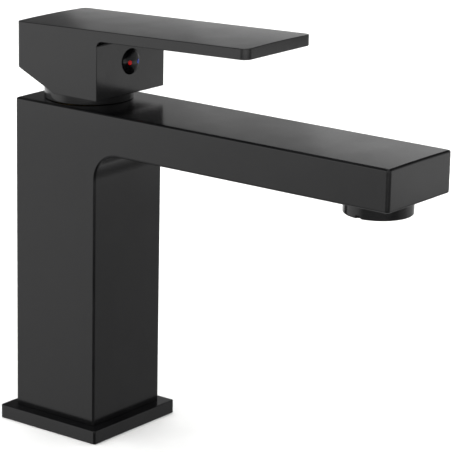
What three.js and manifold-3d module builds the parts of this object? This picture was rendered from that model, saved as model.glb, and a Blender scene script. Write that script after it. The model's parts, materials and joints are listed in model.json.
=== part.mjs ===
// Single-lever bathroom basin mixer. A square column on a square base plate carries a flat
// rectangular spout with an aerator, a ceramic-disc cartridge under a trim cap, and a block
// handle whose flat lever lies over the spout.
// Millimetres, +Z up. The origin is the centre of the base plate's underside on the deck, and
// the spout points to -Y.
import * as THREE from "three";
import { mergeVertices } from "three/addons/utils/BufferGeometryUtils.js";
import Module from "manifold-3d";

const wasm = await Module();
wasm.setup();

// Clearances
const slack = 0.1; // between faces that are clamped together
const threadGap = 0.3; // radial, between a male and a female thread
const slideGap = 0.3; // between pieces that slide or turn on each other
const through = 1; // how far a cutting tool runs past the face it opens

// Body: column and spout in one casting with a common flat top
const columnSide = 45;
const bodyTop = 146.5;
const spoutReach = 152; // column axis to outlet axis
const spoutNose = 19.4; // outlet axis to the spout's end face
const spoutThickness = 18;
const spoutFillet = 12; // under the spout, against the column
const bodyEdge = 1; // along both sides
const bodyProfileEdge = 1.2; // across the spout's end and the top's rear edge
const footTrim = 3; // length cut off below, so that the foot keeps a sharp edge
const columnWall = 4;
const cavityCorner = 3;
const ductSideWall = 3.5;
const ductFlatWall = 3; // above and below the water duct
const ductStart = 30; // from the column axis
const ductWallAtOutlet = 2.8;
const spoutPortWidth = 18; // from the cartridge bore into the duct
const spoutPortHeight = 3;
const spoutPortReach = 3; // past the wall of the cartridge bore
const neckMargin = 1.5; // each side, from the duct's last stretch to the outlet supply
const neckAboveSeat = 1; // floor of that stretch above the outlet's seat

// Base plate and its gasket
const basePlateMargin = 5; // stands out past the column on each side
const basePlateThickness = 6;
const basePlateEdge = 1;
const basePlateRimHeight = 2.5; // locating rim inside the column
const basePlateRimWall = 1.4;
const gasketWidth = 3;
const gasketThickness = 2.1;
const gasketInset = 4; // from the edge of the base plate to the gasket

// Supply side: two threaded inlets and the boss of the clamping stud
const inletThreadRadius = 4.5;
const inletThreadDepth = 14;
const inletSpacing = 14;
const inletSetback = -3; // along Y from the column axis
const inletBlockRoof = 7; // metal between the inlet threads and the cartridge seat
const studBossRadius = 6;
const studBossSetback = 12.5;
const studBossLift = 0.4; // above the base plate's rim
const studHoleRadius = 3.4; // tapped M8
const studHoleDepth = 20;

// Cartridge, for the common 35 mm size
const cartridgeDiameter = 35;
const boreGap = 0.2; // radial, around the cartridge flange
const waterGap = 1.5; // annulus around the housing that leads water to the spout
const housingWall = 1.1; // of the skirt around the discs
const housingCollarWall = 2.8; // of the part around the turret's flange
const housingLipHeight = 2.5; // over the turret's flange
const housingFlangeHeight = 4;
const oRingWidth = 2;
const oRingGrooveDepth = 1.4;
const baseFoot = 0.3; // cartridge base above the seat, on its seals
const baseFlangeHeight = 4;
const baseSeatHeight = 1.2; // from the base flange to the disc gasket
const baseRimHeight = 3;
const baseRimWall = 1.7;
const baseFloor = 1.7; // under the side outlet
const sealThickness = 1.3;
const sealWall = 1.5;
const sealPortGap = 0.4; // from a port's edge to its seal
const discGasketThickness = 1;
const discThickness = 3.5;
const discRunningGap = 0.05;
const portRadius = 2.3;
const portLand = 3.1; // from an inlet port to the rim of the fixed disc
const portAngle = THREE.MathUtils.degToRad(66.8); // inlet ports, each side of the front
const outletPortRadius = 3.4;
const outletPortLand = 2.6;
const discWallGap = 1.35; // moving disc to the housing with the lever up
const discRestOffset = 1.6; // moving disc towards the back when the lever is down
const hollowLand = 1; // from the inlet ports to the moving disc's hollow when the lever is down
const hollowShoulder = 3.4; // length of the hollow's full width
const hollowTaper = 0.55; // of its width at the rear
const hollowRearInset = 0.4;
const hollowDepth = 1.5;
const carrierHeight = 4.3;
const tongueLength = 10;
const tongueHeight = 1.6;
const tongueFrontGap = 0.8; // in the turret's groove, with the lever up
const tongueRearGap = 1.2; // with the lever down
const turretGap = 0.2; // above and below the turret's flange, its groove and its rib
const turretFlangeHeight = 5.1;
const turretRadius = 9.8; // neck that comes out of the housing
const turretNeckWall = 1.3; // in front of the stem's slot, and beyond the ends of the pin
const turretNeckAbovePivot = 6;
const turretLipGap = 0.4; // radial, from the neck to the housing's lip
const armRearGap = 1.5; // behind the stem, below the pin
const stemFrontGap = 0.6; // in front of the stem, above the pin
const stemSlotFloor = 0.4; // above the pin's axis
const stopWidth = THREE.MathUtils.degToRad(20); // of the turret's rib and of each stop lug
const stopRingHeight = 2.4;
const stopHeight = 1.8; // of the lugs above the ring
const stopDepth = 2.1;
const stopClearance = THREE.MathUtils.degToRad(1); // between rib and lug at the end of the swivel
const stopRoot = 0.5; // of a lug or the rib sunk into the piece it stands on
const swivelLimit = THREE.MathUtils.degToRad(45);

// Lever mechanism
const pivotAboveHousing = 2; // pin axis above the housing's top face
const liftLimit = THREE.MathUtils.degToRad(25);
const ballArm = 10.5; // pin axis to the centre of the stem's ball
const ballRadius = 3;
const ballGap = 0.35; // radial, in the carrier's socket
const armRadius = 2.2;
const stemSide = 8;
const shankTail = 1; // of the square shank past its half width below the pin
const pinRadius = 1.5;
const pinGap = 0.05;

// Retaining nut and trim cap
const nutThreadLength = 7.5;
const nutShoulder = 0.9; // radial step from the cartridge bore to the nut's thread
const nutHexHeight = 3.4;
const nutHexInset = 0.5; // hexagon's corners inside the thread radius
const capGap = 0.6; // radial, around the nut's hexagon
const capWall = 1;
const capCylinder = 4;
const capDome = 4.2;
const capMouthRadius = 12.3;

// Handle
const handleFront = 23.2; // block face to the column axis
const handleRear = 21.9;
const handleGap = 4.35; // above the body's top
const handleHeight = 29.9; // of the block, at the column axis
const handleRise = Math.tan(THREE.MathUtils.degToRad(2)); // the whole top rises to the front
const leverReach = 101.5;
const leverThickness = 5;
const leverFillet = 2.75; // under the lever, against the block
const leverCorner = 3.5;
const handleRearCorner = 2.2;
const handleChamferHeight = 9.35; // clears the body when the lever is up
const handleChamferEnd = 0.6;
const handleCapGap = 0.9; // radial, around the trim cap
const ceilingFront = 5.65; // cavity ceiling above the block's underside
const ceilingRear = 10.6;
const socketGap = 0.25;
const socketTop = 32; // roof of the handle's socket above the pin's axis
const stemTopGap = 1; // under that roof
const screwRadius = 2.3;
const screwLength = 11.8;
const screwGap = 0.2; // radial
const screwAboveBlock = 14.05; // screw and plug axis above the block's underside
const hexKeyRadius = 1.4;
const hexKeyDepth = 3;
const plugRadius = 5.5;
const plugDepth = 2.8;
const plugDome = 2.2;
const plugStep = 0.15; // radial, from the plug's side in to its dome
const plugGap = 0.1;
const dotSpacing = 5.4;
const dotRadius = 1;
const dotDepth = 1;
const dotSunk = 0.15; // enamel below the top of the dome

// Aerator, for an M24 outlet
const outletThreadRadius = 12.2;
const outletThreadDepth = 9.7;
const outletSeatWidth = 2.7; // shoulder that the washer seals on
const aeratorRingRadius = 14.4;
const aeratorRingHeight = 7;
const aeratorWall = 1.3;
const aeratorLip = 0.8;
const aeratorLipHeight = 1.5;
const aeratorChamfer = 0.5;
const slotWidth = 2.6; // of the two slots for the aerator key
const slotHeight = 1.4;
const slotDepth = 1.6;
const washerThickness = 1.2;
const washerGap = 0.2; // radial, outside the supply bore
const insertGap = 0.2; // radial, in the ring's bore
const insertHeight = 7;
const insertWall = 1.4;
const grilleThickness = 1.4;
const grillePitch = 3.6;
const grilleHoleRadius = 1.5;
const grilleRings = 2;
const regulatorHeight = 2.4;
const regulatorHoles = 10;
const regulatorHoleRadius = 0.8;
const regulatorCircle = 6;
const screenRise = 1.6;
const screenWall = 0.5;
const screenHoles = 10;
const screenHoleRadius = 0.5;
const screenOuterCircle = 5.2;
const screenInnerCircle = 2.6;
const screenRimWidth = 1.5;
const screenFold = { inner: 1, outer: 0.6, rise: 0.4 }; // where the dome meets the flat rim

// Places and radii worked out from the values above
const columnHalf = columnSide / 2;
const spoutUnderside = bodyTop - spoutThickness;
const bodyBottom = basePlateThickness + slack;
const cavityHalf = columnHalf - columnWall;
const boreRadius = cartridgeDiameter / 2 + boreGap;
const flangeRadius = boreRadius - slideGap;
const nutBoreRadius = boreRadius + nutShoulder;
const housingRadius = boreRadius - waterGap;
const housingInner = housingRadius - housingWall;
const rimOuter = housingInner - boreGap;
const rimInner = rimOuter - baseRimWall;
const fixedDiscRadius = rimInner - boreGap;
const turretInner = housingRadius - housingCollarWall; // housing bore around the turret's flange
const tongueWidth = stemSide; // the tongue slides in the slot that the stem tilts in
const turretFlangeRadius = turretInner - slideGap;
const pinLength = 2 * (turretRadius - turretNeckWall);
const lipRadius = turretRadius + turretLipGap;
const stopRingOuter = lipRadius + stopDepth - slack;
const nutMouthRadius = stopRingOuter + threadGap;
const portCircle = fixedDiscRadius - portRadius - portLand;
const inletPortX = portCircle * Math.sin(portAngle);
const inletPortY = -portCircle * Math.cos(portAngle);
const outletPortY = fixedDiscRadius - outletPortRadius - outletPortLand;

// Heights inside the cartridge, above its seat
const baseFlangeTop = baseFoot + baseFlangeHeight;
const discSeat = baseFlangeTop + baseSeatHeight;
const fixedDiscBottom = discSeat + discGasketThickness + slack;
const movingDiscBottom = fixedDiscBottom + discThickness + discRunningGap;
const carrierBottom = movingDiscBottom + discThickness + discRunningGap;
const carrierTop = carrierBottom + carrierHeight;
const turretBottom = carrierTop + turretGap;
const turretFlangeTop = turretBottom + turretFlangeHeight;
const lipBottom = turretFlangeTop + turretGap;
const housingTop = lipBottom + housingLipHeight;
const housingFlangeBottom = housingTop - housingFlangeHeight;
const grooveBottom = housingFlangeBottom + (housingFlangeHeight - oRingWidth) / 2;
const oRingBottom = grooveBottom + slack;
const pivotHeight = housingTop + pivotAboveHousing;
const ballHeight = pivotHeight - ballArm;
const discTravel = ballArm * Math.sin(liftLimit);
const movingDiscRadius = housingInner - (discTravel - discRestOffset) - discWallGap;

const cartridgeSeat = bodyTop - nutThreadLength - housingTop;
const pivotZ = cartridgeSeat + pivotHeight;
const inletBlockBottom = cartridgeSeat - inletBlockRoof - inletThreadDepth;
const ductBottom = spoutUnderside + ductFlatWall;
const ductTop = bodyTop - ductFlatWall;
const nutHexRadius = nutBoreRadius - threadGap - nutHexInset;
const capInner = nutHexRadius + capGap;
const capRadius = capInner + capWall;
const outletSupplyRadius = outletThreadRadius - outletSeatWidth;
const aeratorThread = outletThreadRadius - threadGap;
const aeratorBore = aeratorThread - aeratorWall;
const insertRadius = aeratorBore - insertGap;

// Finishes
const satinBlack = { color: 0x29292b, roughness: 0.34, metalness: 0.55 };
const gasketRubber = { color: 0x1c1c1c, roughness: 0.85, metalness: 0 };
const sealRubber = { color: 0x23272b, roughness: 0.7, metalness: 0 };
const paleAcetal = { color: 0xdcdcd6, roughness: 0.5, metalness: 0 };
const greyNylon = { color: 0x8f959b, roughness: 0.55, metalness: 0 };
const blueAcetal = { color: 0x3a6ea8, roughness: 0.5, metalness: 0 };
const alumina = { color: 0xf1efe9, roughness: 0.15, metalness: 0 };
const rawBrass = { color: 0xb99a55, roughness: 0.35, metalness: 1 };
const steel = { color: 0xa9abad, roughness: 0.3, metalness: 1 };
const blackPlastic = { color: 0x161618, roughness: 0.3, metalness: 0 };
const redEnamel = { color: 0xc8202a, roughness: 0.25, metalness: 0 };
const blueEnamel = { color: 0x1f5fc0, roughness: 0.25, metalness: 0 };

// Solids

// Turns a closed three.js geometry into a manifold-3d solid.
function solidOf(geometry) {
  const bare = geometry.index ? geometry.toNonIndexed() : geometry.clone();
  bare.deleteAttribute("normal");
  bare.deleteAttribute("uv");
  const merged = mergeVertices(bare, 1e-4);
  const corners = Array.from(merged.index.array);
  const triVerts = [];
  for (let i = 0; i < corners.length; i += 3) {
    const [a, b, c] = corners.slice(i, i + 3);
    if (a !== b && b !== c && c !== a) triVerts.push(a, b, c);
  }
  const vertProperties = merged.attributes.position.array;
  return new wasm.Manifold(
    new wasm.Mesh({ numProp: 3, vertProperties, triVerts: new Uint32Array(triVerts) }),
  );
}

function geometryOf(solid) {
  const mesh = solid.getMesh();
  const geometry = new THREE.BufferGeometry();
  const points = new THREE.BufferAttribute(new Float32Array(mesh.vertProperties), 3);
  geometry.setAttribute("position", points);
  geometry.setIndex(new THREE.BufferAttribute(new Uint32Array(mesh.triVerts), 1));
  const flat = geometry.toNonIndexed();
  flat.computeVertexNormals();
  return flat;
}

const join = (...solids) => solids.reduce((all, next) => all.add(next));
const cut = (stock, ...tools) => stock.subtract(join(...tools));

// A box between two values on each axis.
function block([x0, x1], [y0, y1], [z0, z1]) {
  const box = new THREE.BoxGeometry(x1 - x0, y1 - y0, z1 - z0);
  box.translate((x0 + x1) / 2, (y0 + y1) / 2, (z0 + z1) / 2);
  return solidOf(box);
}

const arcSteps = 6; // straight pieces in a rounded corner
const hexagonSides = 6;
const smallFacets = 16; // around a pin, up to 3 mm in radius
const middleFacets = 24; // around a port or a screw boss, up to 8 mm in radius
const roundFacets = 32; // around the other large round pieces
const visibleFacets = 48; // around the cap and the aerator ring

function facetsOf(radius) {
  if (radius > 8) return roundFacets;
  return radius > 3 ? middleFacets : smallFacets;
}

// An upright cylinder from z0 to z1, standing at x, y.
function rod(radius, z0, z1, x = 0, y = 0, facets = facetsOf(radius)) {
  const cylinder = new THREE.CylinderGeometry(radius, radius, z1 - z0, facets);
  cylinder.rotateX(Math.PI / 2);
  cylinder.translate(x, y, (z0 + z1) / 2);
  return solidOf(cylinder);
}

// A cylinder along Y at height z, from y0 to y1.
function rodAlongY(radius, y0, y1, x, z, facets = facetsOf(radius)) {
  const cylinder = new THREE.CylinderGeometry(radius, radius, y1 - y0, facets);
  cylinder.translate(x, (y0 + y1) / 2, z);
  return solidOf(cylinder);
}

// A cylinder along X through the Z axis at height z.
function rodAlongX(radius, length, z) {
  const cylinder = new THREE.CylinderGeometry(radius, radius, length, facetsOf(radius));
  cylinder.rotateZ(Math.PI / 2);
  cylinder.translate(0, 0, z);
  return solidOf(cylinder);
}

// A solid of revolution about Z. The outline lists [radius, z] anticlockwise: up the outside,
// and, where it doesn't start and end on the axis, back down the inside.
function turned(outline, facets = roundFacets) {
  const points = outline.map(([radius, z]) => new THREE.Vector2(radius, z));
  if (outline[0][0] > 0) points.push(points[0].clone());
  const lathe = new THREE.LatheGeometry(points, facets);
  lathe.rotateX(Math.PI / 2);
  return solidOf(lathe);
}

const ring = (inner, outer, z0, z1, facets = facetsOf(outer)) =>
  turned([[inner, z0], [outer, z0], [outer, z1], [inner, z1]], facets);

// A closed outline through anticlockwise corners [u, v, radius], each rounded by its radius.
function outlineOf(corners) {
  const points = corners.flatMap(([u, v, radius = 0], i) => {
    const corner = new THREE.Vector2(u, v);
    if (radius === 0) return [corner];
    const [lastU, lastV] = corners.at(i - 1);
    const [nextU, nextV] = corners[(i + 1) % corners.length];
    const back = new THREE.Vector2(lastU, lastV).sub(corner).normalize();
    const ahead = new THREE.Vector2(nextU, nextV).sub(corner).normalize();
    const halfAngle = Math.acos(back.dot(ahead)) / 2;
    const reach = radius / Math.tan(halfAngle);
    const start = corner.clone().addScaledVector(back, reach);
    const end = corner.clone().addScaledVector(ahead, reach);
    const inward = back.clone().add(ahead).normalize();
    const centre = corner.clone().addScaledVector(inward, radius / Math.sin(halfAngle));
    const startAngle = start.sub(centre).angle();
    const endAngle = end.sub(centre).angle();
    const clockwise = back.cross(ahead) > 0;
    const arc = [centre.x, centre.y, radius, radius, startAngle, endAngle, clockwise];
    return new THREE.EllipseCurve(...arc).getPoints(arcSteps);
  });
  return new THREE.Shape(points);
}

const squareOutline = (half, radius) => outlineOf([
  [half, -half, radius],
  [half, half, radius],
  [-half, half, radius],
  [-half, -half, radius],
]);

// An upright prism over an outline in X and Y.
function prism(shape, z0, z1, curveSegments = 3) {
  const depth = z1 - z0;
  const extrusion = new THREE.ExtrudeGeometry(shape, { depth, bevelEnabled: false, curveSegments });
  extrusion.translate(0, 0, z0);
  return solidOf(extrusion);
}

// A prism along X, centred on X = 0, over an outline in Y and Z, with rounded end edges.
function crosswisePrism(shape, width, edge = 0) {
  const extrusion = new THREE.ExtrudeGeometry(shape, {
    depth: width - 2 * edge,
    curveSegments: 3,
    bevelEnabled: edge > 0,
    bevelSize: edge,
    bevelThickness: edge,
    bevelOffset: -edge,
    bevelSegments: 2,
  });
  extrusion.translate(0, 0, edge - width / 2);
  const yAxis = new THREE.Vector3(0, 1, 0);
  const zAxis = new THREE.Vector3(0, 0, 1);
  const xAxis = new THREE.Vector3(1, 0, 0);
  extrusion.applyMatrix4(new THREE.Matrix4().makeBasis(yAxis, zAxis, xAxis));
  return solidOf(extrusion);
}

// A quarter ellipse from the outside at z to the mouth above it, as [radius, z] points.
function quarterDome(mouth, outer, z, rise, steps = 6) {
  const points = [];
  for (let i = 0; i <= steps; i++) {
    const turn = (i / steps) * (Math.PI / 2);
    points.push([mouth + (outer - mouth) * Math.cos(turn), z + rise * Math.sin(turn)]);
  }
  return points;
}

// A sector of a ring, centred on an angle measured from the front (-Y) about Z.
function ringSector(inner, outer, z0, z1, centre, width) {
  const shape = new THREE.Shape();
  const start = centre - width / 2 - Math.PI / 2;
  const end = centre + width / 2 - Math.PI / 2;
  shape.absarc(0, 0, outer, start, end, false);
  shape.absarc(0, 0, inner, end, start, true);
  return prism(shape, z0, z1, 4);
}

// Adds a named mesh of a solid to a group, at a place in that group.
function place(group, name, solid, finish, x = 0, y = 0, z = 0) {
  const mesh = new THREE.Mesh(geometryOf(solid), new THREE.MeshStandardMaterial(finish));
  mesh.name = name;
  mesh.position.set(x, y, z);
  group.add(mesh);
}

// Body and base

function bodyShell() {
  const front = -(spoutReach + spoutNose);
  const foot = bodyBottom - footTrim;
  const side = outlineOf([
    [columnHalf, foot],
    [columnHalf, bodyTop, bodyProfileEdge],
    [front, bodyTop, bodyProfileEdge],
    [front, spoutUnderside, bodyProfileEdge],
    [-columnHalf, spoutUnderside, spoutFillet],
    [-columnHalf, foot],
  ]);
  const shell = crosswisePrism(side, columnSide, bodyEdge);
  const wide = columnSide;
  return cut(shell, block([-wide, wide], [-wide, wide], [foot - through, bodyBottom]));
}

function studBoss() {
  const bottom = bodyBottom + basePlateRimHeight + studBossLift;
  const post = rod(studBossRadius, bottom, inletBlockBottom + through, 0, studBossSetback);
  const web = block(
    [-studBossRadius, studBossRadius],
    [studBossSetback, cavityHalf + through],
    [bottom, inletBlockBottom + through],
  );
  const hole = rod(studHoleRadius, bottom - through, bottom + studHoleDepth, 0, studBossSetback);
  return cut(join(post, web), hole);
}

// Two threaded inlets under the cartridge seat, each with its port up to the seat.
function inletWays() {
  const threadTop = inletBlockBottom + inletThreadDepth;
  const mouth = inletBlockBottom - through;
  const half = inletSpacing / 2;
  return join(
    ...[-1, 1].flatMap((side) => [
      rod(inletThreadRadius, mouth, threadTop, side * half, inletSetback),
      rod(portRadius, threadTop - through, cartridgeSeat + through, side * inletPortX, inletPortY),
    ]),
  );
}

function cartridgeWell() {
  const shoulder = bodyTop - nutThreadLength;
  return join(
    rod(boreRadius, cartridgeSeat, shoulder + slack),
    rod(nutBoreRadius, shoulder, bodyTop + through),
  );
}

// The water's way from the cartridge bore, along the spout and down into the outlet.
function spoutWay() {
  const ductHalf = columnHalf - ductSideWall;
  const ductEnd = -(spoutReach - outletThreadRadius - ductWallAtOutlet);
  const portTop = cartridgeSeat + housingFlangeBottom - 2 * slack;
  const portHalf = spoutPortWidth / 2;
  const outletSeat = spoutUnderside + outletThreadDepth;
  const neckHalf = outletSupplyRadius - neckMargin;
  return join(
    block([-ductHalf, ductHalf], [ductEnd, -ductStart], [ductBottom, ductTop]),
    block(
      [-portHalf, portHalf],
      [-ductStart - through, spoutPortReach - boreRadius],
      [portTop - spoutPortHeight, portTop],
    ),
    block(
      [-neckHalf, neckHalf],
      [-spoutReach, ductEnd + through],
      [outletSeat + neckAboveSeat, ductTop],
    ),
    rod(outletThreadRadius, spoutUnderside - through, outletSeat, 0, -spoutReach),
    rod(outletSupplyRadius, outletSeat - slack, ductTop, 0, -spoutReach),
  );
}

function makeBody() {
  const cavity = squareOutline(cavityHalf, cavityCorner);
  const hoseSpace = prism(cavity, bodyBottom - through, inletBlockBottom);
  const hollow = cut(bodyShell(), hoseSpace);
  return cut(join(hollow, studBoss()), inletWays(), cartridgeWell(), spoutWay());
}

const gasketOuter = columnHalf + basePlateMargin - gasketInset;
const gasketInner = gasketOuter - gasketWidth;

function makeBasePlate() {
  const rimHalf = cavityHalf - boreGap;
  const windowHalf = rimHalf - basePlateRimWall;
  const plateOutline = squareOutline(columnHalf + basePlateMargin, basePlateEdge);
  const plate = prism(plateOutline, 0, basePlateThickness);
  const rim = prism(
    squareOutline(rimHalf, cavityCorner),
    basePlateThickness - through,
    basePlateThickness + basePlateRimHeight,
  );
  const windowTop = bodyBottom + basePlateRimHeight;
  const window = prism(squareOutline(windowHalf, cavityCorner), -through, windowTop);
  const groove = cut(
    prism(squareOutline(gasketOuter + slack, cavityCorner), -through, gasketThickness + slack),
    prism(squareOutline(gasketInner - slack, cavityCorner), -2 * through, bodyBottom),
  );
  return cut(join(plate, rim), window, groove);
}

function makeBaseGasket() {
  return cut(
    prism(squareOutline(gasketOuter, cavityCorner), 0, gasketThickness),
    prism(squareOutline(gasketInner, cavityCorner), -through, gasketThickness + through),
  );
}

// Cartridge pieces, with z = 0 on the cartridge seat

// The three ports, as tools that cut through a disc.
function ports(z0, z1) {
  return join(
    rod(portRadius, z0 - through, z1 + through, inletPortX, inletPortY),
    rod(portRadius, z0 - through, z1 + through, -inletPortX, inletPortY),
    rod(outletPortRadius, z0 - through, z1 + through, 0, outletPortY),
  );
}

const sealRadius = portRadius + sealPortGap + sealWall;

function makeInletSeal() {
  return ring(sealRadius - sealWall, sealRadius, 0, sealThickness);
}

function makeCartridgeBase() {
  const rimTop = discSeat + baseRimHeight;
  const stock = turned([
    [0, baseFoot],
    [housingRadius, baseFoot],
    [housingRadius, baseFlangeTop],
    [rimOuter, baseFlangeTop],
    [rimOuter, rimTop],
    [rimInner, rimTop],
    [rimInner, discSeat],
    [0, discSeat],
  ]);
  const sealPocket = sealThickness + slack;
  const outletFloor = baseFoot + baseFloor;
  const outletRoof = baseFlangeTop - slack;
  const tools = [-1, 1].flatMap((side) => [
    rod(sealRadius + slack, 0, sealPocket, side * inletPortX, inletPortY),
    rod(portRadius, 0, discSeat + through, side * inletPortX, inletPortY),
  ]);
  tools.push(rod(outletPortRadius, outletFloor, discSeat + through, 0, outletPortY));
  tools.push(
    block(
      [-outletPortRadius, outletPortRadius],
      [outletPortY, housingRadius + through],
      [outletFloor, outletRoof],
    ),
  );
  return cut(stock, ...tools);
}

function makeDiscGasket() {
  return cut(rod(fixedDiscRadius, 0, discGasketThickness), ports(0, discGasketThickness));
}

function makeFixedDisc() {
  return cut(rod(fixedDiscRadius, 0, discThickness), ports(0, discThickness));
}

// The moving disc joins the inlets to the outlet through a hollow in its underside. Its front
// edge lies between the ports when the lever is down, and over the inlets when it is up.
function makeMovingDisc() {
  const frontEdge = inletPortY + portRadius + hollowLand;
  const shoulder = frontEdge + hollowShoulder;
  const half = inletPortX + portRadius / 2;
  const rear = outletPortY + outletPortRadius - hollowRearInset;
  const hollow = outlineOf([
    [-half, frontEdge],
    [half, frontEdge],
    [half, shoulder],
    [hollowTaper * half, rear],
    [-hollowTaper * half, rear],
    [-half, shoulder],
  ]);
  const disc = rod(movingDiscRadius, 0, discThickness, 0, discRestOffset);
  return cut(disc, prism(hollow, -through, hollowDepth));
}

function makeDiscCarrier() {
  const tongueHalf = tongueLength / 2;
  const tongue = block(
    [-tongueWidth / 2, tongueWidth / 2],
    [-tongueHalf, tongueHalf],
    [carrierHeight - through, carrierHeight + tongueHeight],
  );
  const socketFloor = ballHeight - ballRadius - slideGap - carrierBottom;
  const socket = rod(ballRadius + ballGap, socketFloor, carrierHeight + tongueHeight + through);
  return cut(join(rod(movingDiscRadius, 0, carrierHeight, 0, discRestOffset), tongue), socket);
}

function makeHousing() {
  const grooveTop = grooveBottom + oRingWidth + 2 * slack;
  return turned([
    [housingInner, baseFlangeTop + slack],
    [housingRadius, baseFlangeTop + slack],
    [housingRadius, housingFlangeBottom],
    [flangeRadius, housingFlangeBottom],
    [flangeRadius, grooveBottom],
    [flangeRadius - oRingGrooveDepth, grooveBottom],
    [flangeRadius - oRingGrooveDepth, grooveTop],
    [flangeRadius, grooveTop],
    [flangeRadius, housingTop],
    [lipRadius, housingTop],
    [lipRadius, lipBottom],
    [turretInner, lipBottom],
    [turretInner, turretBottom - slack],
    [housingInner, turretBottom - slack],
  ]);
}

function makeORing() {
  const inner = flangeRadius - oRingGrooveDepth + slack;
  const outer = boreRadius - slack;
  const middle = (inner + outer) / 2;
  const bow = (outer - inner) / 2;
  const outline = [];
  const sides = 8;
  for (let i = 0; i < sides; i++) {
    const turn = ((i + 0.5) / sides) * 2 * Math.PI - Math.PI;
    outline.push([middle + bow * Math.cos(turn), (oRingWidth / 2) * (1 + Math.sin(turn))]);
  }
  return turned(outline);
}

// Two lugs stop the turret's rib at each end of the swivel, so hot water can be limited.
function makeStopRing() {
  const lugCentre = swivelLimit + stopWidth + stopClearance;
  const lugBottom = stopRingHeight - stopRoot;
  const lugTop = stopRingHeight + stopHeight;
  return join(
    ring(lipRadius, stopRingOuter, 0, stopRingHeight),
    ringSector(lipRadius, stopRingOuter, lugBottom, lugTop, lugCentre, stopWidth),
    ringSector(lipRadius, stopRingOuter, lugBottom, lugTop, -lugCentre, stopWidth),
  );
}

function makeTurret() {
  const neckTop = pivotHeight + turretNeckAbovePivot;
  const slotHalf = stemSide / 2 + slideGap;
  const tongueReach = tongueLength / 2 + discTravel + tongueFrontGap;
  const groove = turretBottom + tongueHeight + turretGap;
  const slotFloor = pivotHeight + stemSlotFloor;
  const ribBottom = housingTop + slack + stopRingHeight + turretGap;
  const ribTop = ribBottom + stopHeight - turretGap;
  const ribOuter = stopRingOuter - 2 * slack;
  const stock = join(
    turned([
      [0, turretBottom],
      [turretFlangeRadius, turretBottom],
      [turretFlangeRadius, turretFlangeTop],
      [turretRadius, turretFlangeTop],
      [turretRadius, neckTop],
      [0, neckTop],
    ]),
    ringSector(turretRadius - stopRoot, ribOuter, ribBottom, ribTop, 0, stopWidth),
  );
  const tongueSlot = block(
    [-slotHalf, slotHalf],
    [-tongueReach, tongueLength / 2 + tongueRearGap],
    [turretBottom - through, groove],
  );
  const armSlot = block(
    [-slotHalf, slotHalf],
    [turretNeckWall - turretRadius, stemSide / 2 + armRearGap],
    [groove - slack, slotFloor + slack],
  );
  const stemSlot = block(
    [-slotHalf, slotHalf],
    [-(stemSide / 2 + stemFrontGap), turretRadius + through],
    [slotFloor, neckTop + through],
  );
  const pinHole = rodAlongX(pinRadius + pinGap, 3 * turretRadius, pivotHeight);
  return cut(stock, tongueSlot, armSlot, stemSlot, pinHole);
}

function makeNut() {
  const threadRadius = nutBoreRadius - threadGap;
  const threadTop = nutThreadLength - slack;
  const collar = rod(threadRadius, 0, threadTop);
  const hexagonTop = threadTop + slack + nutHexHeight;
  const hexagon = rod(nutHexRadius, threadTop - slack, hexagonTop, 0, 0, hexagonSides);
  const mouth = rod(nutMouthRadius, -through, threadTop + nutHexHeight + 2 * through);
  return cut(join(collar, hexagon), mouth);
}

function makeTrimCap() {
  const insideRise = capDome - capWall + slack;
  const inside = quarterDome(capMouthRadius, capInner, capCylinder - 2 * slack, insideRise);
  return turned([
    [capInner, 0],
    [capRadius, 0],
    ...quarterDome(capMouthRadius, capRadius, capCylinder, capDome),
    ...inside.reverse(),
  ], visibleFacets);
}

// Lever pieces, with z = 0 on the pin's axis

const stemTop = socketTop - stemTopGap;
const screwZ = bodyTop + handleGap + screwAboveBlock - pivotZ;

function makeStem() {
  const half = stemSide / 2;
  const shank = block([-half, half], [-half, half], [-half - shankTail, stemTop]);
  const arm = rod(armRadius, -ballArm, -half);
  const ball = new THREE.SphereGeometry(ballRadius, smallFacets, 10);
  ball.rotateX(Math.PI / 2);
  ball.translate(0, 0, -ballArm);
  const pinHole = rodAlongX(pinRadius + 2 * pinGap, 2 * stemSide, 0);
  return cut(join(shank, arm, solidOf(ball)), pinHole);
}

function handleBlank() {
  const bottom = bodyTop + handleGap - pivotZ;
  const topAt = (y) => bottom + handleHeight - handleRise * y;
  const side = outlineOf([
    [handleChamferEnd, bottom],
    [handleRear, bottom + handleChamferHeight],
    [handleRear, topAt(handleRear)],
    [-leverReach, topAt(-leverReach)],
    [-leverReach, topAt(-leverReach) - leverThickness],
    [-handleFront, topAt(-handleFront) - leverThickness, leverFillet],
    [-handleFront, bottom],
  ]);
  const plan = outlineOf([
    [columnHalf, -leverReach, leverCorner],
    [columnHalf, handleRear, handleRearCorner],
    [-columnHalf, handleRear, handleRearCorner],
    [-columnHalf, -leverReach, leverCorner],
  ]);
  const depth = 2 * handleHeight + pivotZ;
  return crosswisePrism(side, columnSide).intersect(prism(plan, -depth, depth));
}

function makeHandle() {
  const bottom = bodyTop + handleGap - pivotZ;
  const hollowHalf = capRadius + handleCapGap;
  const hollow = crosswisePrism(
    outlineOf([
      [-hollowHalf, bottom - through],
      [hollowHalf, bottom - through],
      [hollowHalf, bottom + ceilingRear],
      [-hollowHalf, bottom + ceilingFront],
    ]),
    2 * hollowHalf,
  );
  const socketHalf = stemSide / 2 + socketGap;
  const socket = block([-socketHalf, socketHalf], [-socketHalf, socketHalf], [bottom, socketTop]);
  const recessFloor = -(handleFront - plugDepth - plugGap);
  const recess = rodAlongY(plugRadius + plugGap, -handleFront - through, recessFloor, 0, screwZ);
  const screwHole = rodAlongY(screwRadius + screwGap, recessFloor - through, 0, 0, screwZ);
  return cut(handleBlank(), hollow, socket, recess, screwHole);
}

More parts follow.
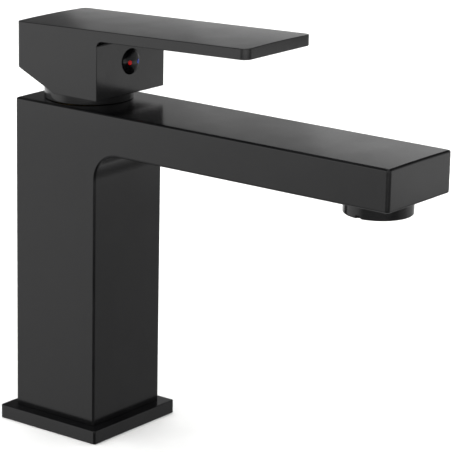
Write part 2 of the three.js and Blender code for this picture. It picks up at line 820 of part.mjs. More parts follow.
function makeGrubScrew() {
  const tip = -(stemSide / 2 + slack);
  const head = tip - screwLength;
  const body = rodAlongY(screwRadius, head, tip, 0, 0);
  return cut(body, rodAlongY(hexKeyRadius, head - through, head + hexKeyDepth, 0, 0, hexagonSides));
}

const dotFloor = plugDepth + plugDome - dotDepth;

// A round domed plug, modelled about Z with its face up, and turned to face the front.
function makePlug() {
  const dome = quarterDome(0, plugRadius - plugStep, plugDepth, plugDome);
  const button = turned([[0, 0], [plugRadius, 0], [plugRadius, plugDepth], ...dome]);
  const mouth = plugDepth + 2 * plugDome;
  const pocket = (side) => rod(dotRadius + plugGap, dotFloor, mouth, (side * dotSpacing) / 2);
  return cut(button, pocket(-1), pocket(1));
}

function makeDot() {
  return rod(dotRadius, plugGap, dotDepth - dotSunk);
}

// Aerator pieces, with z = 0 on the spout's underside

const aeratorBottom = -aeratorRingHeight;
const spigotTop = outletThreadDepth - washerThickness - 2 * slack;
const insertBottom = aeratorBottom + aeratorLipHeight + slack;
const regulatorBottom = insertBottom + insertHeight + slack;
const screenBottom = regulatorBottom + regulatorHeight + slack;

function makeAeratorHousing() {
  const stock = turned([
    [aeratorBore - aeratorLip, aeratorBottom],
    [aeratorRingRadius - aeratorChamfer, aeratorBottom],
    [aeratorRingRadius, aeratorBottom + aeratorChamfer],
    [aeratorRingRadius, -slack],
    [aeratorThread, -slack],
    [aeratorThread, spigotTop],
    [aeratorBore, spigotTop],
    [aeratorBore, aeratorBottom + aeratorLipHeight],
    [aeratorBore - aeratorLip, aeratorBottom + aeratorLipHeight],
  ], visibleFacets);
  const slots = [-1, 1].map((side) => {
    const inner = side * (aeratorRingRadius - slotDepth);
    const outer = side * (aeratorRingRadius + through);
    const reach = [Math.min(inner, outer), Math.max(inner, outer)];
    const rise = [aeratorBottom - through, aeratorBottom + slotHeight];
    return block(reach, [-slotWidth / 2, slotWidth / 2], rise);
  });
  return cut(stock, ...slots);
}

// A cup with a honeycomb of straight holes in its floor.
function makeAeratorInsert() {
  const cup = turned([
    [0, 0],
    [insertRadius, 0],
    [insertRadius, insertHeight],
    [insertRadius - insertWall, insertHeight],
    [insertRadius - insertWall, grilleThickness],
    [0, grilleThickness],
  ]);
  const holes = [];
  for (let row = -grilleRings; row <= grilleRings; row++) {
    const count = 2 * grilleRings + 1 - Math.abs(row);
    for (let i = 0; i < count; i++) {
      const x = (i - (count - 1) / 2) * grillePitch;
      const y = row * grillePitch * Math.sin(Math.PI / 3);
      holes.push(rod(grilleHoleRadius, -through, grilleThickness + through, x, y, hexagonSides));
    }
  }
  return cut(cup, ...holes);
}

// Equal holes on a circle, from below a disc that stands on z = 0 up to the top given.
function holeCircle(count, radius, pitchRadius, top, facets = hexagonSides) {
  return join(
    ...Array.from({ length: count }, (_, i) => {
      const turn = (i / count) * 2 * Math.PI;
      const [x, y] = [pitchRadius * Math.cos(turn), pitchRadius * Math.sin(turn)];
      return rod(radius, -through, top, x, y, facets);
    }),
  );
}

function makeFlowRegulator() {
  const disc = rod(insertRadius, 0, regulatorHeight);
  const top = regulatorHeight + through;
  return cut(disc, holeCircle(regulatorHoles, regulatorHoleRadius, regulatorCircle, top, 10));
}

// A shallow domed sieve on a flat rim.
function makeAeratorScreen() {
  const rim = insertRadius - screenRimWidth;
  const top = screenRise + through;
  const sieve = turned([
    [0, screenRise - screenWall],
    [rim - screenFold.inner, screenFold.rise],
    [rim - screenFold.outer, 0],
    [insertRadius, 0],
    [insertRadius, screenWall],
    [rim, screenWall],
    [0, screenRise],
  ]);
  return cut(
    sieve,
    holeCircle(screenHoles, screenHoleRadius, screenOuterCircle, top),
    holeCircle(screenHoles / 2, screenHoleRadius, screenInnerCircle, top),
  );
}

// Assembly

const faucet = new THREE.Group();
place(faucet, "body", makeBody(), satinBlack);
place(faucet, "base_plate", makeBasePlate(), satinBlack);
place(faucet, "base_gasket", makeBaseGasket(), gasketRubber);

const cartridge = new THREE.Group();
cartridge.position.set(0, 0, cartridgeSeat);
faucet.add(cartridge);
place(cartridge, "cartridge_base", makeCartridgeBase(), paleAcetal);
place(cartridge, "inlet_seal_hot", makeInletSeal(), sealRubber, -inletPortX, inletPortY, slack / 2);
place(cartridge, "inlet_seal_cold", makeInletSeal(), sealRubber, inletPortX, inletPortY, slack / 2);
place(cartridge, "disc_gasket", makeDiscGasket(), sealRubber, 0, 0, discSeat + slack / 2);
place(cartridge, "fixed_disc", makeFixedDisc(), alumina, 0, 0, fixedDiscBottom);
place(cartridge, "moving_disc", makeMovingDisc(), alumina, 0, 0, movingDiscBottom);
place(cartridge, "disc_carrier", makeDiscCarrier(), blueAcetal, 0, 0, carrierBottom);
place(cartridge, "cartridge_housing", makeHousing(), greyNylon);
place(cartridge, "housing_o_ring", makeORing(), sealRubber, 0, 0, oRingBottom);
place(cartridge, "hot_limit_ring", makeStopRing(), paleAcetal, 0, 0, housingTop + slack);
place(cartridge, "turret", makeTurret(), paleAcetal);
place(cartridge, "pivot_pin", rodAlongX(pinRadius, pinLength, 0), steel, 0, 0, pivotHeight);
place(cartridge, "retaining_nut", makeNut(), rawBrass, 0, 0, housingTop + slack);

const leverGroup = new THREE.Group();
leverGroup.position.set(0, 0, pivotZ);
faucet.add(leverGroup);
place(leverGroup, "stem", makeStem(), steel);
place(leverGroup, "handle", makeHandle(), satinBlack);
place(leverGroup, "grub_screw", makeGrubScrew(), steel, 0, 0, screwZ);

const plugGroup = new THREE.Group();
plugGroup.position.set(0, -(handleFront - plugDepth), screwZ);
plugGroup.rotation.set(Math.PI / 2, 0, 0);
leverGroup.add(plugGroup);
place(plugGroup, "indicator_plug", makePlug(), blackPlastic);
place(plugGroup, "hot_dot", makeDot(), redEnamel, -dotSpacing / 2, 0, dotFloor);
place(plugGroup, "cold_dot", makeDot(), blueEnamel, dotSpacing / 2, 0, dotFloor);

place(faucet, "trim_cap", makeTrimCap(), satinBlack, 0, 0, bodyTop + slack / 2);

const aerator = new THREE.Group();
aerator.position.set(0, -spoutReach, spoutUnderside);
faucet.add(aerator);
const washer = ring(outletSupplyRadius + washerGap, aeratorThread, 0, washerThickness);
place(aerator, "aerator_housing", makeAeratorHousing(), satinBlack);
place(aerator, "aerator_insert", makeAeratorInsert(), greyNylon, 0, 0, insertBottom);
place(aerator, "flow_regulator", makeFlowRegulator(), paleAcetal, 0, 0, regulatorBottom);
place(aerator, "aerator_screen", makeAeratorScreen(), steel, 0, 0, screenBottom);
place(aerator, "aerator_washer", washer, sealRubber, 0, 0, spigotTop + slack);

export default faucet;
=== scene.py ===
import json
from math import atan2, cos, pi, radians, sin, sqrt, tan

import bmesh
import bpy
from mathutils import Matrix, Vector

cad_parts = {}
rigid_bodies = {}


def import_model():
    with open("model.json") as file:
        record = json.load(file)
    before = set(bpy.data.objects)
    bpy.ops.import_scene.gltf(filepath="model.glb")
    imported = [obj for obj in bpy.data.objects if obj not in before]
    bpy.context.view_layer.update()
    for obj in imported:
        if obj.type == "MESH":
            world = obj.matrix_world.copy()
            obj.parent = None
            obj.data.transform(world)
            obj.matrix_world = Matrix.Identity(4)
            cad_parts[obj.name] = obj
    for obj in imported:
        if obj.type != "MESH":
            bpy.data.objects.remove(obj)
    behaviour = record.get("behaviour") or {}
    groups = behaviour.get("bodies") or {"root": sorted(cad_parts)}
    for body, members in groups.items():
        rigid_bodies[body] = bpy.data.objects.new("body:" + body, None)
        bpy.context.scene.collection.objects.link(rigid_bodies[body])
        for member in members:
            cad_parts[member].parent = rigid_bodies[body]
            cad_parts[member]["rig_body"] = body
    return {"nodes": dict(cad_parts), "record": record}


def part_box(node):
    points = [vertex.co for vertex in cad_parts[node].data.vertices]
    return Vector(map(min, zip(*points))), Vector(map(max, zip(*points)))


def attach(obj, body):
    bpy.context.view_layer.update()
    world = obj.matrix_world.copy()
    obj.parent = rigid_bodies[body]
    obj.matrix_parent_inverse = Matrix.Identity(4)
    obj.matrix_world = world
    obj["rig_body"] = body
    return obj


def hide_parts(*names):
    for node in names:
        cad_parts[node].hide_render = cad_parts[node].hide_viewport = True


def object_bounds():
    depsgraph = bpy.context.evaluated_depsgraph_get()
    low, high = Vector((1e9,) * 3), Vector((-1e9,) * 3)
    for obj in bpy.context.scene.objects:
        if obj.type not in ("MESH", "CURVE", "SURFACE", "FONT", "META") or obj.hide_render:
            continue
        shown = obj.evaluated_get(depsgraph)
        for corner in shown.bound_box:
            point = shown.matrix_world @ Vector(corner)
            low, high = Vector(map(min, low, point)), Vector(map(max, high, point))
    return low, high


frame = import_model()
cadBox = [list(corner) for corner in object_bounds()]
lowest, highest = (Vector(corner) for corner in cadBox)
print("frame loaded:", len(frame["nodes"]), "CAD nodes")

mm = 0.001  # sizes below are in millimetres, Blender works in metres
past = 1  # how far a cutting tool runs past the face that it opens
lap = 0.5  # how far one cutting tool runs into the next

# The camera comes first.
camera = {
    "azimuth": -52.85,  # degrees round from straight in front of the spout
    "elevation": 15.43,
    "roll": 1.17,
    "distance": 1009.8,
    "aimOffset": (0, -3.9, 9.65),  # from the middle of the whole faucet
    "lens": 191.44,
    "sensor": 36,
}


def placeCamera():
    az, el, roll = (radians(camera[key]) for key in ("azimuth", "elevation", "roll"))
    back = Vector((sin(az) * cos(el), -cos(az) * cos(el), sin(el)))
    level = Vector((cos(az), sin(az), 0))
    right = level * cos(roll) + back.cross(level) * sin(roll)
    aim = (lowest + highest) / 2 + Vector(camera["aimOffset"]) * mm
    data = bpy.data.cameras.new("camera")
    data.lens = camera["lens"]
    data.sensor_width = camera["sensor"]
    data.clip_end = 50
    eye = bpy.data.objects.new("camera", data)
    turn = Matrix((right, back.cross(right), back)).transposed().to_4x4()
    eye.matrix_world = Matrix.Translation(aim + back * camera["distance"] * mm) @ turn
    bpy.context.scene.collection.objects.link(eye)
    bpy.context.scene.camera = eye


placeCamera()
print("camera placed")


def linearColour(hexColour):
    channels = [int(hexColour[i:i + 2], 16) / 255 for i in (1, 3, 5)]
    return (*(c / 12.92 if c <= 0.04045 else ((c + 0.055) / 1.055) ** 2.4 for c in channels), 1)


# Adds one node; settings are its properties or unlinked inputs, links are the sockets that feed it.
def addNode(tree, kind, settings=None, links=None):
    node = tree.nodes.new("ShaderNode" + kind)
    for key, value in (settings or {}).items():
        if isinstance(key, str) and hasattr(node, key):
            setattr(node, key, value)
        else:
            node.inputs[key].default_value = value
    for key, source in (links or {}).items():
        tree.links.new(source, node.inputs[key])
    return node


# A new material with its constant shader values set, and the object's own coordinates in metres.
def startMaterial(name, shaderValues):
    material = bpy.data.materials.new(name)
    material.use_nodes = True
    tree = material.node_tree
    shader = tree.nodes["Principled BSDF"]
    for key, value in shaderValues.items():
        shader.inputs[key].default_value = value
    place = addNode(tree, "TexCoord").outputs["Object"]
    return material, tree, shader, place


# Cloudy noise whose features are about sizeMm across.
def cloud(tree, place, sizeMm, detail=2.0, roughness=0.5, stretch=(1, 1, 1)):
    spot = addNode(tree, "Mapping", {"Scale": stretch}, {"Vector": place}).outputs["Vector"]
    settings = {"Scale": 1 / (sizeMm * mm), "Detail": detail, "Roughness": roughness}
    return addNode(tree, "TexNoise", settings, {"Vector": spot}).outputs["Fac"]


def spread(tree, source, low, high, fromLow=0.3, fromHigh=0.7):
    settings = {"From Min": fromLow, "From Max": fromHigh, "To Min": low, "To Max": high}
    return addNode(tree, "MapRange", settings, {"Value": source}).outputs["Result"]


def twoColours(tree, source, first, second, start=0.3, end=0.7):
    ramp = addNode(tree, "ValToRGB", None, {"Fac": source})
    ramp.color_ramp.elements[0].position = start
    ramp.color_ramp.elements[0].color = linearColour(first)
    ramp.color_ramp.elements[1].position = end
    ramp.color_ramp.elements[1].color = linearColour(second)
    return ramp.outputs["Color"]


def relief(tree, source, heightMm, under=None):
    links = {"Height": source}
    if under:
        links["Normal"] = under
    return addNode(tree, "Bump", {"Distance": heightMm * mm}, links).outputs["Normal"]


def feed(tree, shader, **sources):
    for key, source in sources.items():
        tree.links.new(source, shader.inputs[key.replace("_", " ")])


# Cast brass or zinc, ground flat, blasted and lacquered black: the metal is hidden, and the eye gets a
# soft sheen with faint clouding where the film is thicker, and a very shallow orange peel.
satinLacquer = {
    "ior": 1.5,
    "filmHex": ("#060607", "#0c0c0d"),
    "cloudMm": 16,
    "roughness": (0.17, 0.22),
    "peelMm": 1.4,  # such a peel is often some 0.6 mm across, drawn coarser so that it shows
    "peelHeight": 0.0006,
    "gritMm": 0.3,  # matting grains, often some 0.01 mm across, drawn coarser
    "gritHeight": 0.0004,
    "gritRoughness": 0.035,
}


def makeSatinLacquer(name, film):
    values = {"IOR": film["ior"], "Metallic": 0}
    material, tree, shader, place = startMaterial(name, values)
    clouds = cloud(tree, place, film["cloudMm"], 3)
    grit = cloud(tree, place, film["gritMm"], 1)
    low, high = film["roughness"]
    broad = spread(tree, clouds, low, high)
    fine = spread(tree, grit, -film["gritRoughness"], film["gritRoughness"])
    rough = addNode(tree, "Math", {"operation": "ADD"}, {0: broad, 1: fine}).outputs["Value"]
    peel = relief(tree, cloud(tree, place, film["peelMm"], 1), film["peelHeight"])
    bumps = relief(tree, grit, film["gritHeight"], peel)
    feed(tree, shader, Base_Color=twoColours(tree, clouds, *film["filmHex"]), Roughness=rough, Normal=bumps)
    return material


# EPDM rubber, moulded: matt dark grey with a fine bloom of filler specks.
def makeRubber(name, darkHex, bloomHex, rough):
    material, tree, shader, place = startMaterial(name, {"IOR": 1.52, "Specular IOR Level": 0.4})
    specks = cloud(tree, place, 0.5, 3, 0.7)
    bloom = cloud(tree, place, 6, 2)
    mixed = addNode(tree, "Math", {"operation": "MULTIPLY"}, {0: specks, 1: bloom}).outputs["Value"]
    feed(
        tree,
        shader,
        Base_Color=twoColours(tree, mixed, darkHex, bloomHex, 0.15, 0.4),
        Roughness=spread(tree, bloom, rough - 0.06, rough + 0.06),
        Normal=relief(tree, specks, 0.012),
    )
    return material


# Acetal or nylon, injection moulded: a waxy look with light below the surface and a spark-eroded grain.
def makeMouldedPlastic(name, mainHex, paleHex, rough, grainMm, glow):
    values = {"IOR": 1.48, "Subsurface Weight": glow, "Subsurface Scale": 0.6 * mm}
    material, tree, shader, place = startMaterial(name, values)
    flow = cloud(tree, place, 5, 3, 0.6, (1, 1, 0.4))
    grain = cloud(tree, place, grainMm, 2)
    feed(
        tree,
        shader,
        Base_Color=twoColours(tree, flow, mainHex, paleHex),
        Roughness=spread(tree, grain, rough - 0.05, rough + 0.05),
        Normal=relief(tree, grain, 0.006),
    )
    return material


# Alumina discs, sintered and lapped: an ivory white with grey grain, nearly mirror smooth.
def makeAlumina(name):
    values = {"IOR": 1.77, "Subsurface Weight": 0.08, "Subsurface Scale": 0.4 * mm}
    material, tree, shader, place = startMaterial(name, values)
    grain = cloud(tree, place, 0.35, 2, 0.7)
    clouds = cloud(tree, place, 7, 2)
    feed(
        tree,
        shader,
        Base_Color=twoColours(tree, grain, "#e6e2d8", "#f4f1ea"),
        Roughness=spread(tree, clouds, 0.08, 0.16),
        Normal=relief(tree, grain, 0.0005),
    )
    return material


# Machined metal: fine marks across the part at each height, and a duller film in patches.
def makeTurnedMetal(name, mainHex, filmHex, rough, ringMm):
    material, tree, shader, place = startMaterial(name, {"Metallic": 1})
    rings = cloud(tree, place, ringMm, 1, 0.5, (0.04, 0.04, 1))
    film = cloud(tree, place, 5, 4, 0.6)
    feed(
        tree,
        shader,
        Base_Color=twoColours(tree, film, mainHex, filmHex),
        Roughness=spread(tree, rings, rough - 0.07, rough + 0.07),
        Normal=relief(tree, rings, 0.004),
    )
    return material


# ABS plug, moulded in a polished tool: deep black and glossy, with hair-fine wiping marks.
def makeBlackPlastic(name):
    material, tree, shader, place = startMaterial(name, {"IOR": 1.5, "Specular IOR Level": 0.3})
    marks = cloud(tree, place, 0.6, 3, 0.6, (1, 1, 0.15))
    haze = cloud(tree, place, 3, 2)
    feed(
        tree,
        shader,
        Base_Color=twoColours(tree, haze, "#070708", "#0d0d0f"),
        Roughness=spread(tree, marks, 0.1, 0.17),
        Normal=relief(tree, haze, 0.002),
    )
    return material


# Epoxy enamel dropped into a pocket: a glossy skin over slightly uneven pigment.
def makeEnamel(name, deepHex, brightHex):
    values = {"IOR": 1.55, "Specular IOR Level": 0.25}
    material, tree, shader, place = startMaterial(name, values)
    pigment = cloud(tree, place, 0.5, 2)
    feed(
        tree,
        shader,
        Base_Color=twoColours(tree, pigment, deepHex, brightHex),
        Roughness=spread(tree, pigment, 0.2, 0.3),
        Normal=relief(tree, pigment, 0.003),
    )
    return material


zincLacquer = {**satinLacquer, "cloudMm": 12, "roughness": (0.16, 0.21)}
finishes = {
    "satin_black_brass": makeSatinLacquer("satin black lacquered brass", satinLacquer),
    "satin_black_zinc": makeSatinLacquer("satin black lacquered zinc", zincLacquer),
    "gasket_rubber": makeRubber("moulded EPDM rubber", "#161616", "#2b2b2a", 0.8),
    "seal_rubber": makeRubber("moulded NBR rubber", "#1b1e21", "#30353a", 0.62),
    "white_acetal": makeMouldedPlastic("white moulded acetal", "#d8d7d0", "#e6e5df", 0.42, 0.5, 0.15),
    "grey_nylon": makeMouldedPlastic("grey glass filled nylon", "#7f858a", "#9aa0a5", 0.52, 0.35, 0.04),
    "blue_acetal": makeMouldedPlastic("blue moulded acetal", "#2c5f9c", "#3f74af", 0.42, 0.5, 0.1),
    "alumina_ceramic": makeAlumina("lapped alumina ceramic"),
    "raw_brass": makeTurnedMetal("turned raw brass", "#c9a75c", "#a98945", 0.32, 0.25),
    "stainless_steel": makeTurnedMetal("drawn stainless steel", "#b4b5b6", "#9a9b9c", 0.28, 0.2),
    "black_plastic": makeBlackPlastic("black polished ABS"),
    "red_enamel": makeEnamel("red epoxy enamel", "#b40606", "#d80a0a"),
    "blue_enamel": makeEnamel("blue epoxy enamel", "#12369a", "#1c4cc0"),
}
slotOf = {part["node"]: part["material_slot"] for part in frame["record"]["subparts"]}
print("materials made:", len(finishes))


# Mesh tools, all in millimetres.
def boxMm(nodeName):
    low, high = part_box(nodeName)
    return low / mm, high / mm


def newPiece(name, points, faces):
    mesh = bpy.data.meshes.new(name)
    mesh.from_pydata([Vector(point) * mm for point in points], [], faces)
    form = bmesh.new()
    form.from_mesh(mesh)
    bmesh.ops.remove_doubles(form, verts=form.verts, dist=0.0005 * mm)
    bmesh.ops.recalc_face_normals(form, faces=form.faces)
    form.to_mesh(mesh)
    form.free()
    piece = bpy.data.objects.new(name, mesh)
    bpy.context.scene.collection.objects.link(piece)
    return piece


# Corner points of an outline; a corner with a third value is rounded by an arc of that radius.
def roundedOutline(corners, steps=10):
    points = []
    for index, corner in enumerate(corners):
        here = Vector(corner[:2])
        radius = corner[2] if len(corner) > 2 else 0
        if not radius:
            points.append(here)
            continue
        toLast = (Vector(corners[index - 1][:2]) - here).normalized()
        toNext = (Vector(corners[(index + 1) % len(corners)][:2]) - here).normalized()
        half = toLast.angle(toNext) / 2
        centre = here + (toLast + toNext).normalized() * radius / sin(half)
        start = here + toLast * radius / tan(half) - centre
        end = here + toNext * radius / tan(half) - centre
        first = atan2(start.y, start.x)
        sweep = (atan2(end.y, end.x) - first + pi) % (2 * pi) - pi
        for step in range(steps + 1):
            angle = first + sweep * step / steps
            points.append(centre + Vector((cos(angle), sin(angle))) * radius)
    return points


# A prism on an outline of (y, z) along x, or of (x, y) along z.
def prism(name, outline, low, high, axis):
    place = {"x": lambda p, depth: (depth, *p), "z": lambda p, depth: (*p, depth)}[axis]
    return loft(name, [[place(p, depth) for p in outline] for depth in (low, high)], False)


# Cuts a piece into strips across x and lowers its upward faces a little towards both sides, as a flat that
# was polished by hand ends up.
def crownTop(piece, half, drop, isTop, strips=12):
    form = bmesh.new()
    form.from_mesh(piece.data)
    for strip in range(1, strips):
        x = half * (2 * strip / strips - 1)
        everything = form.verts[:] + form.edges[:] + form.faces[:]
        bmesh.ops.bisect_plane(form, geom=everything, plane_co=(x * mm, 0, 0), plane_no=(1, 0, 0))
    for vertex in form.verts:
        x, y, z = vertex.co / mm
        if isTop(y, z):
            vertex.co.z -= drop * mm * (x / half) ** 2
    form.to_mesh(piece.data)
    form.free()


# Rounds the upright edges whose two ends both pass the test.
def roundChosen(piece, radius, chosen, segments=8):
    form = bmesh.new()
    form.from_mesh(piece.data)
    edges = [edge for edge in form.edges if all(chosen(*(end.co / mm)) for end in edge.verts)]
    edges = [edge for edge in edges if abs(edge.verts[0].co.z - edge.verts[1].co.z) > mm]
    bmesh.ops.bevel(form, geom=edges, offset=radius * mm, segments=segments, profile=0.5, affect="EDGES")
    form.to_mesh(piece.data)
    form.free()


# Joins closed rings of equal count; the last meets the first, or both ends are closed.
def loft(name, rings, wrap=True):
    count = len(rings[0])
    points = [point for ring in rings for point in ring]
    faces = []
    for level in range(len(rings) if wrap else len(rings) - 1):
        lower = level * count
        upper = (level + 1) % len(rings) * count
        for i in range(count):
            j = (i + 1) % count
            faces.append([lower + i, lower + j, upper + j, upper + i])
    if not wrap:
        faces += [list(range(count)), list(range((len(rings) - 1) * count, len(rings) * count))]
    return newPiece(name, points, faces)


def squareRing(half, corner, z, steps=8):
    corners = [(half, -half), (half, half), (-half, half), (-half, -half)]
    return [(p.x, p.y, z) for p in roundedOutline([(*c, corner) for c in corners], steps)]


# A profile of (radius, height) turned round a vertical axis, or round the one that place puts it on.
def turned(name, profile, steps=96, wrap=True, place=lambda x, y, z: (x, y, z)):
    rings = []
    for radius, height in profile:
        angles = [2 * pi * i / steps for i in range(steps)]
        rings.append([place(radius * cos(a), radius * sin(a), height) for a in angles])
    return loft(name, rings, wrap)


def arc(centre, radius, first, last, steps=8):
    angles = [radians(first + (last - first) * i / steps) for i in range(steps + 1)]
    return [(centre[0] + radius * cos(a), centre[1] + radius * sin(a)) for a in angles]


# Moves points to an axis that stands at x, y and starts at z.
def standing(x, y, z=0):
    return lambda px, py, pz: (px + x, py + y, pz + z)


def rod(radius, low, high, x=0, y=0, steps=64):
    return turned("rod", [(radius, low), (radius, high)], steps, False, standing(x, y))


def bar(xs, ys, zs):
    corners = [(xs[0], ys[0]), (xs[1], ys[0]), (xs[1], ys[1]), (xs[0], ys[1])]
    return prism("bar", corners, *zs, "z")


# Puts the modifiers into the mesh.
def settle(piece):
    bpy.context.view_layer.update()
    view = bpy.context.evaluated_depsgraph_get()
    mesh = bpy.data.meshes.new_from_object(piece.evaluated_get(view))
    piece.modifiers.clear()
    piece.data = mesh
    return piece


def combine(piece, others, operation="DIFFERENCE"):
    for other in others:
        step = piece.modifiers.new("combine", "BOOLEAN")
        step.operation = operation
        step.solver = "EXACT"
        step.object = other
    settle(piece)
    for other in others:
        bpy.data.objects.remove(other)
    return piece


def roundEdges(piece, radius, segments=5, sharperThan=35):
    step = piece.modifiers.new("round", "BEVEL")
    step.width = radius * mm
    step.segments = segments
    step.limit_method = "ANGLE"
    step.angle_limit = radians(sharperThan)
    return settle(piece)


# Smooth shading with crisp edges kept, and flat faces left flat.
def finishPiece(piece, nodeNames, sharpAngle=38):
    form = bmesh.new()
    form.from_mesh(piece.data)
    bmesh.ops.dissolve_degenerate(form, dist=0.0005 * mm, edges=form.edges)
    form.to_mesh(piece.data)
    form.free()
    piece.data.shade_smooth()
    piece.data.set_sharp_from_angle(angle=radians(sharpAngle))
    even = piece.modifiers.new("even normals", "WEIGHTED_NORMAL")
    even.keep_sharp = True
    slot = slotOf[nodeNames[0]]
    piece.data.materials.clear()
    piece.data.materials.append(finishes[slot])
    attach(piece, frame["nodes"][nodeNames[0]]["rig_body"])
    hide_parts(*nodeNames)
    print("piece made:", piece.name)
    return piece


body = {
    "columnSide": 45,
    "spoutThickness": 18,
    "fillet": 12,  # under the spout
    "edge": 1,
    "noseEdge": 1.6,  # the two upright edges of the spout's end
    "crown": 0.2,  # of the top, across its width
    "wall": 4,
    "capSeat": 0.05,  # under the trim cap
    "foot": 6.1,  # height of the column's foot, 0.1 over the base plate that it is clamped on
    "footTrim": 3,  # length cut off below the foot, so that it keeps a sharp edge
    "hollowCorner": 3,
    "inletBlock": 21,  # height of the solid part under the cartridge
    "inletThread": (4.5, 14),  # radius and depth
    "inletPort": 2.3,
    "inletSpacing": 14,
    "inletSetback": -3,
    "studBoss": (6, 12.5),  # radius and distance behind the column's axis
    "studHole": (3.4, 20),  # radius and depth
    "studBossFoot": 3,  # above the column's foot
    "sideGap": 0.3,  # round the cartridge and the nut
    "nutBoreDepth": 7.5,
    "ductWall": (3.5, 3),  # beside, and above and below the water's way
    "ductStart": 30,
    "port": {"half": 9, "reach": 3, "rise": 1, "height": 3},  # from the cartridge's bore into the duct
    "neckHalf": 8,  # of the duct's last stretch
    "outlet": (152, 12.2, 9.7),  # distance from the column's axis, radius and depth
    "outletSeat": 2.7,
}


def makeBody():
    capLow = boxMm("trim_cap")[0]
    seat = boxMm("inlet_seal_hot")[0].z
    bore = boxMm("cartridge_housing")[1].x + body["sideGap"]
    nutBore = boxMm("retaining_nut")[1].x + body["sideGap"]
    half, foot, spare = body["columnSide"] / 2, body["foot"], body["footTrim"]
    front = lowest.y / mm
    top = capLow.z - body["capSeat"]
    under = top - body["spoutThickness"]
    profile = [
        (half, foot - spare),
        (half, top),
        (front, top),
        (front, under),
        (-half, under, body["fillet"]),
        (-half, foot - spare),
    ]
    piece = prism("column_and_spout", roundedOutline(profile, 16), -half, half, "x")
    crownTop(piece, half, body["crown"], lambda y, z: z > top - 0.01)
    roundChosen(piece, body["noseEdge"], lambda x, y, z: y < front + 0.01 and abs(x) > half - 0.01)
    roundEdges(piece, body["edge"])
    wide = body["columnSide"]
    trim = bar((-wide, wide), (-wide, wide), (foot - 2 * spare, foot))

    hollow = half - body["wall"]
    blockBottom = seat - body["inletBlock"]
    signs = ((1, -1), (1, 1), (-1, 1), (-1, -1))
    corners = [(x * hollow, y * hollow, body["hollowCorner"]) for x, y in signs]
    hoses = prism("hoses", roundedOutline(corners, 6), foot - past, blockBottom, "z")
    bossRadius, bossBack = body["studBoss"]
    bossFoot = foot + body["studBossFoot"]
    post = rod(bossRadius, bossFoot, blockBottom + past, 0, bossBack)
    web = bar((-bossRadius, bossRadius), (bossBack, hollow + past), (bossFoot, blockBottom + past))
    combine(hoses, [post, web])
    holeRadius, holeDepth = body["studHole"]
    tools = [trim, hoses, rod(holeRadius, bossFoot - past, bossFoot + holeDepth, 0, bossBack, 32)]

    threadRadius, threadDepth = body["inletThread"]
    for side, seal in ((-1, "inlet_seal_hot"), (1, "inlet_seal_cold")):
        low, high = boxMm(seal)
        middle = (low + high) / 2
        x = side * body["inletSpacing"] / 2
        threadTop = blockBottom + threadDepth
        tools.append(rod(threadRadius, blockBottom - past, threadTop, x, body["inletSetback"], 32))
        tools.append(rod(body["inletPort"], threadTop - past, seat + past, middle.x, middle.y, 32))
    shoulder = top - body["nutBoreDepth"]
    tools += [rod(bore, seat, shoulder + lap), rod(nutBore, shoulder, top + past, steps=96)]

    reach, outletRadius, outletDepth = body["outlet"]
    sideWall, flatWall = body["ductWall"]
    ductHalf = half - sideWall
    ductEnd = -(reach - outletRadius - sideWall)
    ductTop = top - flatWall
    floor, start, port, neck = under + flatWall, -body["ductStart"], body["port"], body["neckHalf"]
    portFloor = floor + port["rise"]
    portHeights = (portFloor, portFloor + port["height"])
    supply = outletRadius - body["outletSeat"]
    outletTop = under + outletDepth
    tools.append(bar((-ductHalf, ductHalf), (ductEnd, start), (floor, ductTop)))
    tools.append(bar((-port["half"], port["half"]), (start - past, port["reach"] - bore), portHeights))
    tools.append(bar((-neck, neck), (-reach, ductEnd + past), (outletTop + past, ductTop)))
    tools.append(rod(outletRadius, under - past, outletTop, 0, -reach))
    tools.append(rod(supply, outletTop - lap, ductTop, 0, -reach))
    for tool in tools:
        combine(piece, [tool])
    return finishPiece(piece, ["body"])


makeBody()

basePlate = {
    "corner": 1,
    "topEdge": 0.45,
    "bottomEdge": 0.25,
    "thickness": 6,
    "rimWall": 1.4,
    "rimGap": 0.2,  # inside the column
    "innerCorner": 3,
    "leastCorner": 0.3,  # where the outer corners run in under the edges
    "gasketWidth": 3,
    "gasketGap": 0.1,
    "grooveDepth": 2.2,
}


def makeBasePlate():
    low, high = boxMm("base_plate")
    gasketHalf = boxMm("base_gasket")[1].x
    half, rimTop = high.x, high.z
    rimHalf = body["columnSide"] / 2 - body["wall"] - basePlate["rimGap"]
    windowHalf = rimHalf - basePlate["rimWall"]
    top, edge, foot = basePlate["thickness"], basePlate["topEdge"], basePlate["bottomEdge"]
    grooveOuter = gasketHalf + basePlate["gasketGap"]
    grooveInner = gasketHalf - basePlate["gasketWidth"] - basePlate["gasketGap"]
    profile = arc((half - foot, foot), foot, -90, 0, 3)
    profile += arc((half - edge, top - edge), edge, 0, 90, 6)
    profile += [(rimHalf, top), (rimHalf, rimTop), (windowHalf, rimTop), (windowHalf, 0)]
    profile += [(grooveInner, 0), (grooveInner, basePlate["grooveDepth"])]
    profile += [(grooveOuter, basePlate["grooveDepth"]), (grooveOuter, 0)]
    rings = []
    for across, z in profile:
        corner = basePlate["innerCorner"]
        if across > grooveOuter + lap:
            corner = max(basePlate["corner"] - (half - across), basePlate["leastCorner"])
        rings.append(squareRing(across, corner, z))
    return finishPiece(loft("square_base_plate", rings), ["base_plate"])


makeBasePlate()

trimCap = {"wall": 1, "cylinder": 4, "mouth": 12.3, "footEdge": 0.2, "liningDrop": 0.2, "liningRise": 0.1}


